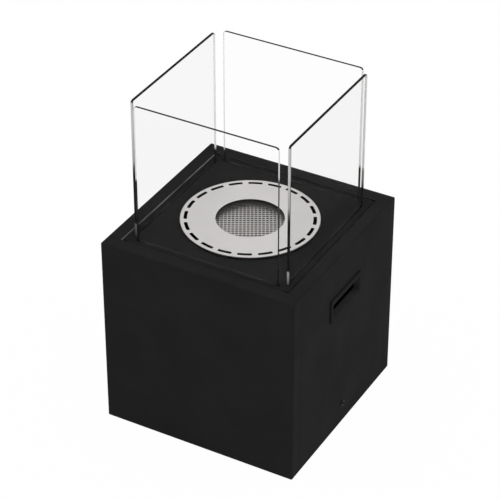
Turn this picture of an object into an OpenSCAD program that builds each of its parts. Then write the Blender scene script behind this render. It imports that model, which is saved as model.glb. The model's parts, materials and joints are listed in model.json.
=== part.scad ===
// Free-standing bioethanol fireplace: a black sheet-steel box on rubber feet, four loose glass panes
// that stand in slots round its top, and a round lift-out burner with a slotted steel cover ring.
// Millimetres. The floor is at Z = 0 under the middle of the box, and the front faces -Y.

/* [Body] */
// Width of the box, left to right
body_w = 350; // [330:2:400]
// Depth of the box, front to back
body_d = 350; // [330:2:400]
// Height of the sheet-steel shell, without the feet
shell_h = 348; // [300:4:420]
// Width of the folded edge returns round every face of the box
rim_w = 24; // [20:0.5:25]
// Thickness of the shell's sheet steel
sheet_t = 1.5; // [1:0.25:1.5]
// Outside radius of the shell's folded edges
edge_r = 2.5; // [2:0.25:4]
// Gap between a side panel and the front and rear panels
panel_gap = 0.4; // [0.2:0.1:1]

/* [Top plate] */
// Thickness of the top plate
top_t = 2; // [2:0.25:3]
// How far the top plate lies below the rim
top_drop = 1.2; // [1:0.1:2]
// Gap between the top plate and the rim at the left and right
plate_side_gap = 1.2; // [0.5:0.1:2]
// Gap between the top plate and the rim at the front and rear
plate_end_gap = 0.5; // [0.3:0.1:1]
// Height of the stiffening flanges turned down at the front and rear
plate_flange_h = 12; // [8:1:20]

/* [Glass] */
// Thickness of a pane
glass_t = 4; // [3:0.5:5]
// Height of a pane
glass_h = 263; // [200:1:320]
// Radius of a pane's upper corners
glass_corner_r = 6; // [3:0.5:12]
// From a face of the box to the middle of the pane behind it
glass_inset = 37; // [35:0.5:40]
// From a pane's end to the middle of the pane beside it
glass_corner_gap = 11; // [11:0.5:20]
// Depth of a pane in its slot, below the top plate's face
glass_seat = 15; // [12:0.5:20]
// Clearance on each face of a pane in its slot
slot_clear = 0.5; // [0.4:0.1:0.6]
// Clearance at each end of a pane in its slot
slot_end_clear = 4; // [2:0.5:4.5]
// Thickness of the silicone pads that a pane stands on
pad_t = 2; // [1:0.25:3]
// Length of a silicone pad
pad_l = 48; // [20:2:60]

/* [Burner] */
// From the cover ring's edge to the middle of the panes
ring_gap = 24; // [20:0.5:30]
// Height of the cover ring above the top plate
ring_rise = 4.5; // [4:0.25:7]
// Thickness of the cover ring's steel
ring_t = 1.5; // [1:0.25:1.75]
// Diameter of the burner's mouth
mouth_d = 112; // [90:1:124]
// Depth of the mouth, from the ring's face down to the gauze
mouth_h = 11; // [8:0.5:16]
// Number of air slots in the cover ring
air_slots = 20; // [12:1:24]
// Length of an air slot
air_slot_l = 21.5; // [14:0.5:23]
// Width of an air slot
air_slot_w = 4.5; // [3:0.25:5]
// From the ring's edge to the middle of an air slot
air_slot_inset = 9; // [8.5:0.25:12]
// Pitch of the gauze
gauze_pitch = 6.2; // [6:0.1:9]
// Clear opening of the gauze
gauze_open = 3.6; // [2.5:0.1:4.5]
// Thickness of the gauze
gauze_t = 1.2; // [0.8:0.1:2]
// Depth of the fuel cup below the top plate's face
cup_h = 75; // [60:1:85]
// Depth of the burner well below the top plate's face
well_h = 95; // [90:1:120]
// Free height between the gauze and the fibre packing
fuel_gap = 15; // [8:1:20]

/* [Hand holes] */
// Width of a hand hole's clear opening
hand_w = 94; // [85:1:110]
// Height of a hand hole's clear opening
hand_h = 27; // [24:0.5:34]
// Height of the hand holes' middle above the underside of the shell
hand_z = 255.5; // [150:0.5:270]
// Width of the trim frame's flange beside the opening
frame_side = 6; // [5:0.5:10]
// Width of the trim frame's flange above and below the opening
frame_top = 9; // [6:0.5:12]
// How far the trim frame stands proud of the side
frame_rise = 3; // [2:0.25:4]
// Depth of the trim frame's collar behind the side's face
collar_l = 9; // [7:0.5:14]

/* [Feet and fasteners] */
// Height of the rubber feet
foot_h = 4; // [3.5:0.25:8]
// Diameter of a foot
foot_d = 16; // [14:0.5:17]
// From a face of the box to the middle of a foot
foot_inset = 15; // [12:0.5:16]
// Height of the side bolts above the underside of the shell
bolt_z = 40; // [25:1:80]
// Diameter of a side bolt's thread
bolt_d = 6; // [5:0.5:8]
// Thickness of the base plate
base_t = 1.5; // [1:0.25:2]

/* [Hidden] */
$fn = 64;

// Overrun of every cut, and the steps of a bend and of a round end
over = 1;
bend_steps = 4;
cap_steps = 8;

// Levels and half sizes of the shell
half_w = body_w / 2;
half_d = body_d / 2;
shell_z = foot_h;
rim_z = shell_z + shell_h;
plate_z = rim_z - top_drop;
plate_low_z = plate_z - top_t;
inner_r = max(edge_r - sheet_t, 0);
bend_r = edge_r - sheet_t / 2;

// Glass, its slots and the channels below them
slot_x = half_w - glass_inset;
slot_y = half_d - glass_inset;
glass_w = 2 * (slot_x - glass_corner_gap);
glass_d = 2 * (slot_y - glass_corner_gap);
glass_z = plate_z - glass_seat;
slot_w = glass_t + 2 * slot_clear;
channel_t = 1;
channel_lap = 2;
channel_w = slot_w + 2 * channel_t;
pad_share = 0.26;

// Ledge that carries the top plate, and the studs that hold it down
ledge_gap = 0.5;
ledge_w = glass_inset - rim_w - channel_w / 2 - ledge_gap;
ledge_inner_r = 0.5;
ledge_bend_r = ledge_inner_r + sheet_t / 2;
stud_d = 3;
stud_clear = 0.4;
stud_inset = 8;
stud_tip = 1;
nut_w = 5.5;
nut_h = 2.4;
stud_x = half_w - rim_w - ledge_w / 2;
stud_y = half_d - rim_w - stud_inset;

// Side panels and the straps behind their joints
side_l = 2 * (half_d - rim_w - panel_gap);
strap_t = 1.5;
strap_edge = 4;
strap_w = 2 * (rim_w - sheet_t - strap_edge);
strap_low = 10;
strap_high = 12;

// Base plate, its ears and the side bolts
base_low_z = shell_z + sheet_t;
base_gap = edge_r;
ear_w = 50;
ear_root = 30;
ear_top = 15;
ear_bend_r = edge_r - base_t / 2;
bolt_clear = 0.3;
bolt_head_d = 1.75 * bolt_d;
bolt_head_h = 0.53 * bolt_d;
bolt_dome = 60;
bolt_socket_w = 0.67 * bolt_d;
bolt_socket_h = 0.3 * bolt_d;
bolt_tip = 2;
weld_nut_w = 1.67 * bolt_d;
weld_nut_h = 0.83 * bolt_d;

// Self-tapping screws of the base and the feet
screw_d = 3.6;
screw_clear = 0.3;
screw_head_d = 7.2;
screw_head_h = 2.1;
screw_socket_w = 2.5;
screw_socket_h = 1.2;
screw_tip = 4;
end_screw_shares = [-0.3, 0, 0.3];
side_screw_shares = [-0.2, 0.2];
foot_sink_d = 8.6;
foot_sink_h = 2.6;
foot_taper = 0.8;

// Trim frames of the hand holes
frame_wall = 2;
frame_r = 5;
frame_edge = 1.2;
frame_steps = 3;
frame_fit = 0.4;
hand_r = 3;
hand_mid_z = shell_z + hand_z;
lug_w = 14;
lug_l = 4;
lug_rise = 1.4;
lug_gap = 0.3;
lug_share = 0.3;

// Burner, from the mouth outwards and down
ring_z = plate_z + ring_rise;
ring_r = min(slot_x, slot_y) - ring_gap;
mouth_r = mouth_d / 2;
ring_bend_r = 1.5 * ring_t;
gauze_z = ring_z - mouth_h - gauze_t;
gauze_lap = 8;
gauze_r = mouth_r + ring_t + gauze_lap;
gauze_clear = 1.2;
gauze_land = 6;
gauze_turn = 29;
cup_t = 1;
cup_lip = 10;
cup_step_r = 1.2;
cup_floor_r = 6;
cup_upper_r = gauze_r + gauze_clear + cup_t / 2;
cup_lower_r = gauze_r - gauze_land - cup_t / 2;
cup_step_z = gauze_z - cup_t / 2;
cup_lip_z = ring_z - ring_t - cup_t / 2;
cup_floor_z = plate_z - cup_h + cup_t / 2;
cup_flange_r = cup_upper_r - cup_step_r;
cup_seam_gap = 0.3;
fibre_clear = 0.5;
fibre_chamfer = 6;
fibre_crown = 2;
well_t = 1;
well_lip = 3;
well_clear = 0.5;
well_bend_r = 1;
well_floor_r = 8;
well_seam = 12;
well_floor_z = plate_z - well_h + well_t / 2;
well_lip_r = ring_r - ring_t - well_clear;
well_r = well_lip_r - well_lip;
air_slot_r = ring_r - air_slot_inset;
air_slot_turn = 6.5;

// Colours
paint = [0.13, 0.13, 0.135];
dark_metal = [0.2, 0.2, 0.21];
steel = [0.8, 0.79, 0.78];
zinc = [0.62, 0.63, 0.65];
clear_glass = [0.8, 0.88, 0.86, 0.35];
rubber = [0.08, 0.08, 0.08];
silicone = [0.75, 0.76, 0.76];
wool = [0.35, 0.33, 0.3];

// Outlines and sections that the pieces share

function unit(v) = v / norm(v);
function xy(p) = [p.x, p.y];
function left_of(v) = [-v.y, v.x];
function turned(v, a) = [v.x * cos(a) - v.y * sin(a), v.x * sin(a) + v.y * cos(a)];
function turn_between(a, b) = atan2(a.x * b.y - a.y * b.x, a * b);

// One bend of a folded sheet, as [point, direction] pairs along the middle of its thickness
function bend(before, corner, after) =
    let (
        come = unit(xy(corner) - xy(before)),
        go = unit(xy(after) - xy(corner)),
        turn = turn_between(come, go),
        arm = left_of(come) * corner.z * sign(turn),
        middle = xy(corner) - come * corner.z * tan(abs(turn) / 2) + arm
    )
    [for (k = [0 : bend_steps])
        let (a = turn * k / bend_steps)
        [middle - turned(arm, a), turned(come, a)]];

// Middle line of a folded sheet. Each entry of the path is [x, y, bend radius].
function fold_line(path) =
    let (last = len(path) - 1)
    [
        [xy(path[0]), unit(xy(path[1]) - xy(path[0]))],
        for (i = [1 : 1 : last - 1]) each bend(path[i - 1], path[i], path[i + 1]),
        [xy(path[last]), unit(xy(path[last]) - xy(path[last - 1]))]
    ];

// Section of a sheet of thickness t folded along a path
function folded(path, t) =
    let (line = fold_line(path))
    concat(
        [for (s = line) s[0] + left_of(s[1]) * t / 2],
        [for (i = [len(line) - 1 : -1 : 0]) line[i][0] - left_of(line[i][1]) * t / 2]
    );

function corner(x, y, r, a) =
    r > 0 ? [for (k = [0 : bend_steps]) [x, y] + turned([r, 0], a + 90 * k / bend_steps)]
    : [[x, y]];

// Rectangle with the corner radii r: lower left, lower right, upper right, upper left
function outline(x0, y0, x1, y1, r) = concat(
    corner(x0 + r[0], y0 + r[0], r[0], 180),
    corner(x1 - r[1], y0 + r[1], r[1], 270),
    corner(x1 - r[2], y1 - r[2], r[2], 0),
    corner(x0 + r[3], y1 - r[3], r[3], 90)
);

function centred_outline(w, h, r) = outline(-w / 2, -h / 2, w / 2, h / 2, [r, r, r, r]);

// Slot with round ends, bent along a circle of the given radius
function arc_slot(radius, length, width) =
    let (reach = (length - width) / 2 / radius * 180 / PI)
    concat(
        [for (k = [-1 : 0.5 : 1]) (radius + width / 2) * [cos(k * reach), sin(k * reach)]],
        [for (k = [1 : cap_steps - 1])
            radius * [cos(reach), sin(reach)]
            + width / 2 * [cos(reach + 180 * k / cap_steps), sin(reach + 180 * k / cap_steps)]],
        [for (k = [1 : -0.5 : -1]) (radius - width / 2) * [cos(k * reach), sin(k * reach)]],
        [for (k = [1 : cap_steps - 1])
            radius * [cos(reach), -sin(reach)]
            - width / 2 * [cos(180 * k / cap_steps - reach), sin(180 * k / cap_steps - reach)]]
    );

// Shell

// Block with every edge rounded but those at the back, Y = d
module tray_block(w, d, h, r) {
    intersection() {
        linear_extrude(h) polygon(outline(-w / 2, 0, w / 2, d, [r, r, 0, 0]));
        translate([-w / 2, 0, 0]) rotate([90, 0, 90]) linear_extrude(w)
            polygon(outline(0, 0, d, h, [r, 0, 0, r]));
        translate([0, d, 0]) rotate([90, 0, 0]) linear_extrude(d)
            polygon(outline(-w / 2, 0, w / 2, h, [r, r, r, r]));
    }
}

module screw_hole() {
    cylinder(d = screw_d + 2 * screw_clear, h = 2 * (sheet_t + base_t + over), center = true);
}

// Places of the screws in the front and rear returns, and of those in the side returns
module at_end_screws() {
    for (share = end_screw_shares) translate([share * body_w, -half_d + rim_w / 2, 0]) children();
}

module at_side_screws() {
    for (share = side_screw_shares) translate([half_w - rim_w / 2, share * body_d, 0]) children();
}

module at_front_feet() {
    for (side = [-1, 1]) translate([side * (half_w - foot_inset), -half_d + foot_inset, 0]) children();
}

// Shallow folded tray that closes the box at the front
module front_tray() {
    difference() {
        translate([0, -half_d, shell_z]) difference() {
            tray_block(body_w, rim_w, shell_h, edge_r);
            translate([0, sheet_t, sheet_t])
                tray_block(body_w - 2 * sheet_t, rim_w - sheet_t + over, shell_h - 2 * sheet_t, inner_r);
        }
        translate([0, 0, shell_z]) {
            at_end_screws() screw_hole();
            at_front_feet() screw_hole();
        }
    }
}

module front_panel() {
    color(paint) front_tray();
}

module rear_panel() {
    color(paint) rotate([0, 0, 180]) front_tray();
}

// Right side: bottom return, side wall, top return, step down and ledge
module side_sheet() {
    wall_x = half_w - sheet_t / 2;
    step_x = half_w - rim_w + sheet_t / 2;
    ledge_z = plate_low_z - sheet_t / 2;
    path = [
        [half_w - rim_w, shell_z + sheet_t / 2, 0],
        [wall_x, shell_z + sheet_t / 2, bend_r],
        [wall_x, rim_z - sheet_t / 2, bend_r],
        [step_x, rim_z - sheet_t / 2, ledge_bend_r],
        [step_x, ledge_z, ledge_bend_r],
        [half_w - rim_w - ledge_w, ledge_z, 0]
    ];
    difference() {
        rotate([90, 0, 0]) linear_extrude(side_l, center = true) polygon(folded(path, sheet_t));
        translate([half_w - sheet_t - over, 0, hand_mid_z]) rotate([90, 0, 90])
            linear_extrude(sheet_t + 2 * over) polygon(centred_outline(
                hand_w + 2 * (frame_wall + frame_fit),
                hand_h + 2 * (frame_wall + frame_fit),
                hand_r + frame_wall
            ));
        translate([half_w, 0, shell_z + bolt_z]) rotate([0, 90, 0])
            cylinder(d = bolt_d + 2 * bolt_clear, h = 2 * (sheet_t + over), center = true);
        translate([0, 0, shell_z]) at_side_screws() screw_hole();
        for (end = [-1, 1]) translate([stud_x, end * stud_y, plate_low_z])
            cylinder(d = stud_d + 2 * stud_clear, h = 2 * (sheet_t + over), center = true);
    }
}

module right_side_panel() {
    color(paint) side_sheet();
}

module left_side_panel() {
    color(paint) mirror([1, 0, 0]) side_sheet();
}

// Flat strap behind the joint of a side panel and the front panel, at the right
module front_strap() {
    translate([half_w - sheet_t - strap_t, -half_d + rim_w - strap_w / 2, base_low_z + base_t + strap_low])
        cube([strap_t, strap_w, plate_low_z - sheet_t - strap_high - (base_low_z + base_t + strap_low)]);
}

module strap(left, rear) {
    color(dark_metal) mirror([left ? 1 : 0, 0, 0]) mirror([0, rear ? 1 : 0, 0]) front_strap();
}

// Base plate, feet and fasteners

// Ear of the base plate, turned up against the right side
module base_ear() {
    ear_z = base_low_z + base_t / 2;
    ear_x = half_w - sheet_t - base_t / 2;
    path = [
        [half_w - ear_root, ear_z, 0],
        [ear_x, ear_z, ear_bend_r],
        [ear_x, shell_z + bolt_z + ear_top, 0]
    ];
    rotate([90, 0, 0]) linear_extrude(ear_w, center = true) polygon(folded(path, base_t));
}

module base_plate() {
    plate_w = body_w - 2 * (sheet_t + base_gap);
    plate_d = body_d - 2 * (sheet_t + base_gap);
    color(dark_metal) difference() {
        union() {
            translate([-plate_w / 2, -plate_d / 2, base_low_z]) cube([plate_w, plate_d, base_t]);
            base_ear();
            mirror([1, 0, 0]) base_ear();
        }
        translate([0, 0, base_low_z]) for (turn = [0, 180]) rotate([0, 0, turn]) {
            at_end_screws() screw_hole();
            at_side_screws() screw_hole();
            at_front_feet() screw_hole();
        }
        translate([0, 0, shell_z + bolt_z]) rotate([0, 90, 0])
            cylinder(d = bolt_d + 2 * bolt_clear, h = body_w, center = true);
    }
}

// Self-tapping screw that points up, with the bearing face of its head at Z = 0
module base_screw(grip) {
    side = [
        [0, -screw_head_h],
        [(screw_head_d - screw_head_h) / 2, -screw_head_h],
        [screw_head_d / 2, -screw_head_h / 2],
        [screw_head_d / 2, 0],
        [screw_d / 2, 0],
        [screw_d / 2, grip + screw_tip / 2],
        [screw_d / 4, grip + screw_tip],
        [0, grip + screw_tip]
    ];
    difference() {
        rotate_extrude() polygon(side);
        translate([0, 0, -screw_head_h - over])
            cylinder(d = screw_socket_w, h = screw_socket_h + over, $fn = 6);
    }
}

module base_screws() {
    color(zinc) translate([0, 0, shell_z]) for (turn = [0, 180]) rotate([0, 0, turn]) {
        at_end_screws() base_screw(sheet_t + base_t);
        at_side_screws() base_screw(sheet_t + base_t);
    }
}

module foot_screws() {
    color(zinc) translate([0, 0, foot_sink_h]) for (turn = [0, 180]) rotate([0, 0, turn])
        at_front_feet() base_screw(foot_h - foot_sink_h + sheet_t + base_t);
}

// Rubber foot with a sunk screw hole
module foot() {
    difference() {
        cylinder(d1 = foot_d - 2 * foot_taper, d2 = foot_d, h = foot_h);
        translate([0, 0, -over]) cylinder(d = foot_sink_d, h = foot_sink_h + over);
        translate([0, 0, -over]) cylinder(d = screw_d + 2 * screw_clear, h = foot_h + 2 * over);
    }
}

module foot_at(side, end) {
    color(rubber) translate([side * (half_w - foot_inset), end * (half_d - foot_inset), 0]) foot();
}

// Button-head bolt along +X, with the bearing face of its head at X = 0
module button_bolt() {
    grip = sheet_t + base_t + weld_nut_h + bolt_tip;
    head = [
        [0, 0],
        [bolt_head_d / 2, 0],
        for (k = [1 : bend_steps]) [
            bolt_head_d / 2 * cos(bolt_dome * k / bend_steps),
            bolt_head_h * sin(bolt_dome * k / bend_steps) / sin(bolt_dome)
        ],
        [0, bolt_head_h]
    ];
    rotate([0, 90, 0]) difference() {
        union() {
            rotate_extrude() polygon(head);
            translate([0, 0, -grip]) cylinder(d = bolt_d, h = grip + bolt_head_h / 2);
        }
        translate([0, 0, bolt_head_h - bolt_socket_h])
            cylinder(d = bolt_socket_w * 2 / sqrt(3), h = bolt_socket_h + over, $fn = 6);
    }
}

module right_side_bolt() {
    color(dark_metal) translate([half_w, 0, shell_z + bolt_z]) button_bolt();
}

module left_side_bolt() {
    color(dark_metal) mirror([1, 0, 0]) translate([half_w, 0, shell_z + bolt_z]) button_bolt();
}

module hex_nut(w, h, bore) {
    difference() {
        cylinder(d = w * 2 / sqrt(3), h = h, $fn = 6);
        translate([0, 0, -over]) cylinder(d = bore, h = h + 2 * over);
    }
}

// Nuts welded behind the ears of the base plate
module weld_nuts() {
    color(zinc) for (side = [0, 1]) mirror([side, 0, 0])
        translate([half_w - sheet_t - base_t - weld_nut_h, 0, shell_z + bolt_z])
            rotate([0, 90, 0]) hex_nut(weld_nut_w, weld_nut_h, bolt_d + 2 * bolt_clear);
}

// Hand holes

// Moulded trim frame, drawn flat: its flange's back is at Z = 0 and its opening runs through along Z
module hand_frame() {
    flange_w = hand_w + 2 * frame_side;
    flange_h = hand_h + 2 * frame_top;
    collar_w = hand_w + 2 * frame_wall;
    collar_h = hand_h + 2 * frame_wall;
    difference() {
        union() {
            hull() for (k = [0 : frame_steps]) {
                a = 90 * k / frame_steps;
                inset = frame_edge * (1 - cos(a));
                linear_extrude(frame_rise - frame_edge * (1 - sin(a)))
                    polygon(centred_outline(flange_w - 2 * inset, flange_h - 2 * inset, frame_r - inset));
            }
            translate([0, 0, -collar_l]) linear_extrude(collar_l + frame_rise / 2)
                polygon(centred_outline(collar_w, collar_h, hand_r + frame_wall));
            for (across = [-1, 1], up = [0, 1]) mirror([0, up, 0])
                translate([across * lug_share * hand_w - lug_w / 2, collar_h / 2, -sheet_t - lug_gap])
                    rotate([0, 90, 0]) linear_extrude(lug_w) polygon([
                        [0, -frame_wall / 2], [0, lug_rise],
                        [lug_l, 0], [lug_l, -frame_wall / 2]
                    ]);
        }
        translate([0, 0, -collar_l - over]) linear_extrude(collar_l + frame_rise + 2 * over)
            polygon(centred_outline(hand_w, hand_h, hand_r));
    }
}

module right_hand_frame() {
    color(rubber) translate([half_w, 0, hand_mid_z]) rotate([90, 0, 90]) hand_frame();
}

module left_hand_frame() {
    color(rubber) mirror([1, 0, 0]) translate([half_w, 0, hand_mid_z]) rotate([90, 0, 90]) hand_frame();
}

// Top plate and glass

// Slots of the four panes, drawn flat
module glass_slots() {
    for (end = [-1, 1]) {
        translate([0, end * slot_y]) square([glass_w + 2 * slot_end_clear, slot_w], center = true);
        translate([end * slot_x, 0]) square([slot_w, glass_d + 2 * slot_end_clear], center = true);
    }
}

// Plate with flanges turned down at the front and rear, and weld studs at its corners
module top_plate() {
    plate_w = body_w - 2 * (rim_w + plate_side_gap);
    plate_d = body_d - 2 * (rim_w + plate_end_gap);
    flange_w = body_w - 2 * (rim_w + ledge_w + plate_side_gap);
    flange_y = plate_d / 2 - top_t / 2;
    path = [
        [-flange_y, plate_z - plate_flange_h, 0],
        [-flange_y, plate_z - top_t / 2, top_t],
        [flange_y, plate_z - top_t / 2, top_t],
        [flange_y, plate_z - plate_flange_h, 0]
    ];
    side_d = 2 * (flange_y - top_t);
    color(paint) difference() {
        union() {
            rotate([90, 0, 90]) linear_extrude(flange_w, center = true) polygon(folded(path, top_t));
            translate([-plate_w / 2, -side_d / 2, plate_low_z]) cube([plate_w, side_d, top_t]);
            for (side = [-1, 1], end = [-1, 1])
                translate([side * stud_x, end * stud_y, plate_low_z - sheet_t - nut_h - stud_tip])
                    cylinder(d = stud_d, h = sheet_t + nut_h + stud_tip + top_t / 2);
        }
        translate([0, 0, plate_low_z - over]) linear_extrude(top_t + 2 * over) glass_slots();
        translate([0, 0, plate_low_z - over])
            cylinder(r = well_r + well_clear, h = top_t + 2 * over, $fn = 128);
    }
}

module top_plate_nuts() {
    color(zinc) for (side = [-1, 1], end = [-1, 1])
        translate([side * stud_x, end * stud_y, plate_low_z - sheet_t - nut_h])
            hex_nut(nut_w, nut_h, stud_d + 2 * stud_clear);
}

// Channel along X under a slot, for a pane of the given width
module channel(pane_w) {
    wall = channel_w / 2 - channel_t / 2;
    floor_z = glass_z - pad_t - channel_t / 2;
    path = [
        [-wall, plate_low_z, 0],
        [-wall, floor_z, channel_t],
        [wall, floor_z, channel_t],
        [wall, plate_low_z, 0]
    ];
    rotate([90, 0, 90]) linear_extrude(pane_w + 2 * (slot_end_clear + channel_lap), center = true)
        polygon(folded(path, channel_t));
}

// The two pads along X that a pane of the given width stands on
module pads(pane_w) {
    for (side = [-1, 1]) translate([side * pad_share * pane_w - pad_l / 2, -glass_t / 2, glass_z - pad_t])
        cube([pad_l, glass_t, pad_t]);
}

// Pane along X, with round upper corners
module pane(pane_w) {
    edge = glass_corner_r / 6;
    rotate([90, 0, 0]) linear_extrude(glass_t, center = true)
        polygon(outline(
            -pane_w / 2, glass_z, pane_w / 2, glass_z + glass_h,
            [edge, edge, glass_corner_r, glass_corner_r]
        ));
}

// Places a piece that is drawn along X at the front, rear, left or right of the box
module at_front() translate([0, -slot_y, 0]) children();
module at_rear() translate([0, slot_y, 0]) children();
module at_left() translate([-slot_x, 0, 0]) rotate([0, 0, 90]) children();
module at_right() translate([slot_x, 0, 0]) rotate([0, 0, 90]) children();

module front_glass_channel() color(zinc) at_front() channel(glass_w);
module rear_glass_channel() color(zinc) at_rear() channel(glass_w);
module left_glass_channel() color(zinc) at_left() channel(glass_d);
module right_glass_channel() color(zinc) at_right() channel(glass_d);

module front_glass_pads() color(silicone) at_front() pads(glass_w);
module rear_glass_pads() color(silicone) at_rear() pads(glass_w);
module left_glass_pads() color(silicone) at_left() pads(glass_d);
module right_glass_pads() color(silicone) at_right() pads(glass_d);

module front_glass() color(clear_glass) at_front() pane(glass_w);
module rear_glass() color(clear_glass) at_rear() pane(glass_w);
module left_glass() color(clear_glass) at_left() pane(glass_d);
module right_glass() color(clear_glass) at_right() pane(glass_d);

// Burner

// Wall of the well, which hangs in the top plate by its lip
module burner_well() {
    lip_z = plate_z + well_t / 2;
    wall = well_r - well_t / 2;
    path = [
        [well_lip_r, lip_z, 0],
        [wall, lip_z, well_bend_r],
        [wall, well_floor_z + well_floor_r, 0]
    ];
    color(dark_metal) rotate_extrude($fn = 128) polygon(folded(path, well_t));
}

// Floor pan of the well, whose rim is seam-welded round the foot of the wall
module well_pan() {
    rim = well_r + well_t / 2;
    path = [
        [rim, well_floor_z + well_floor_r + well_seam, 0],
        [rim, well_floor_z, well_floor_r],
        [0, well_floor_z, 0]
    ];
    color(dark_metal) rotate_extrude($fn = 128) polygon(folded(path, well_t));
}

// Cover ring: collar round the mouth, flat face with air slots, skirt round the edge
module cover_ring() {
    collar = mouth_r + ring_t / 2;
    face_z = ring_z - ring_t / 2;
    skirt = ring_r - ring_t / 2;
    path = [
        [collar, ring_z - mouth_h, 0],
        [collar, face_z, ring_bend_r],
        [skirt, face_z, ring_bend_r],
        [skirt, plate_z, 0]
    ];
    color(steel) difference() {
        rotate_extrude($fn = 128) polygon(folded(path, ring_t));
        for (i = [0 : air_slots - 1]) rotate([0, 0, air_slot_turn + i * 360 / air_slots])
            translate([0, 0, ring_z - ring_t - over]) linear_extrude(ring_t + 2 * over)
                polygon(arc_slot(air_slot_r, air_slot_l, air_slot_w));
    }
}

// Drawn fuel cup, with a flange that carries the gauze
module fuel_cup() {
    path = [
        [cup_flange_r, cup_step_z, 0],
        [cup_lower_r, cup_step_z, cup_step_r],
        [cup_lower_r, cup_floor_z, cup_floor_r],
        [0, cup_floor_z, 0]
    ];
    color(steel) rotate_extrude($fn = 128) polygon(folded(path, cup_t));
}

// Collar that joins the cup's flange to the underside of the cover ring
module cup_collar() {
    seam_z = cup_step_z - cup_t;
    path = [
        [cup_upper_r + cup_lip, cup_lip_z, 0],
        [cup_upper_r, cup_lip_z, cup_step_r],
        [cup_upper_r, seam_z, cup_step_r],
        [cup_lower_r + cup_step_r + cup_seam_gap, seam_z, 0]
    ];
    color(steel) rotate_extrude($fn = 128) polygon(folded(path, cup_t));
}

// Wire gauze, with a plain rim where the ring holds it down
module gauze() {
    mesh_r = mouth_r + ring_t;
    cells = ceil(mesh_r / gauze_pitch);
    color(steel) translate([0, 0, gauze_z]) linear_extrude(gauze_t) difference() {
        circle(r = gauze_r, $fn = 128);
        rotate(gauze_turn) for (i = [-cells : cells], j = [-cells : cells])
            if (norm([i, j]) * gauze_pitch + gauze_open / sqrt(2) < mesh_r)
                translate([i, j] * gauze_pitch) square(gauze_open, center = true);
    }
}

// Fibre packing that soaks up the fuel in the cup
module fibre_packing() {
    low = cup_floor_z + cup_t / 2;
    high = gauze_z - fuel_gap;
    r = cup_lower_r - cup_t / 2 - fibre_clear;
    color(wool) rotate_extrude($fn = 96) polygon([
        [0, low],
        [r - fibre_chamfer, low],
        [r, low + fibre_chamfer],
        [r, high - 2 * fibre_crown],
        [r - fibre_crown, high - fibre_crown],
        [r / 2, high - fibre_crown / 4],
        [0, high]
    ]);
}

front_panel();
rear_panel();
left_side_panel();
right_side_panel();
base_plate();
strap(true, false);  // strap_front_left
strap(false, false);  // strap_front_right
strap(true, true);  // strap_rear_left
strap(false, true);  // strap_rear_right
foot_at(-1, -1);  // foot_front_left
foot_at(1, -1);  // foot_front_right
foot_at(-1, 1);  // foot_rear_left
foot_at(1, 1);  // foot_rear_right
foot_screws();
base_screws();
left_side_bolt();
right_side_bolt();
weld_nuts();
left_hand_frame();
right_hand_frame();
top_plate();
top_plate_nuts();
front_glass_channel();
rear_glass_channel();
left_glass_channel();
right_glass_channel();
front_glass_pads();
rear_glass_pads();
left_glass_pads();
right_glass_pads();
front_glass();
rear_glass();
left_glass();
right_glass();
burner_well();
well_pan();
cover_ring();
fuel_cup();
cup_collar();
gauze();
fibre_packing();
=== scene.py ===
# %% [markdown]
# # A bioethanol fireplace, dressed piece by piece
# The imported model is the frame: it says where every piece of the fireplace is, in metres, with the floor
# at Z = 0 and the front facing -Y. What shows most is modelled again here with softer edges and real
# bends. Pieces whose plain shape is already right keep their mesh and only get a finish.

# %% Load the frame
import json
import math
import bmesh
import bpy
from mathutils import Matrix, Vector


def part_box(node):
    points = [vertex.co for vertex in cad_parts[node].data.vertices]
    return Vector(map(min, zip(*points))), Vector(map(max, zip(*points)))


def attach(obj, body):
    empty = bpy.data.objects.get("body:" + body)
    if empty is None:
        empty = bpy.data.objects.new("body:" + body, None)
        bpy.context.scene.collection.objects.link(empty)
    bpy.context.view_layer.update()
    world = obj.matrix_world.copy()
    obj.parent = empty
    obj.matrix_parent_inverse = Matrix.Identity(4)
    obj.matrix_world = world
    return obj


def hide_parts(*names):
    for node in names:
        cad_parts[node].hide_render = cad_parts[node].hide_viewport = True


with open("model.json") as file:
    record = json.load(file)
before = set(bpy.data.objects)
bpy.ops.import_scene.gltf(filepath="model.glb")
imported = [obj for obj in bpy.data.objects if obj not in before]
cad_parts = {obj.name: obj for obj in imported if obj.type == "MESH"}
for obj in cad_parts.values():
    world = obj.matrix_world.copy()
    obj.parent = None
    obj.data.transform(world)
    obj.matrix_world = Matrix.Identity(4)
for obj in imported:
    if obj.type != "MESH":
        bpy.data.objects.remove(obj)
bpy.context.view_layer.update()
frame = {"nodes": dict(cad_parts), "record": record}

NODES = frame["nodes"]
MM = 0.001

# %% [markdown]
# ## Places from the frame
# `corners` gives a CAD node's lowest and highest corners in millimetres, as on a drawing. The pieces take
# their places from them. Only what a box can't tell, such as how thick a sheet is, is written as a number.

# %% Corners of a node
def corners(node):
    return [Vector(corner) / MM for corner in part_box(node)]


SHEET, TOP_SHEET, FOLD = 1.5, 2.0, 2.5
TRAY_LOW, TRAY_HIGH = corners("front_panel")
SIDE_X, RIM_X = TRAY_HIGH.x, -TRAY_HIGH.y
PLATE_Z = corners("top_plate")[1].z
PANE_LOW, PANE_HIGH = corners("front_glass")
print("side at", SIDE_X, "rim from", RIM_X, "top plate at", round(PLATE_Z, 2))

# %% [markdown]
# ## Camera
# The photograph looks down on the corner between the front and the right side. Its angles and its lens were
# worked out from the box's seven visible corners and the panes' four top edges, so the camera is placed by
# numbers and not by eye.

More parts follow.
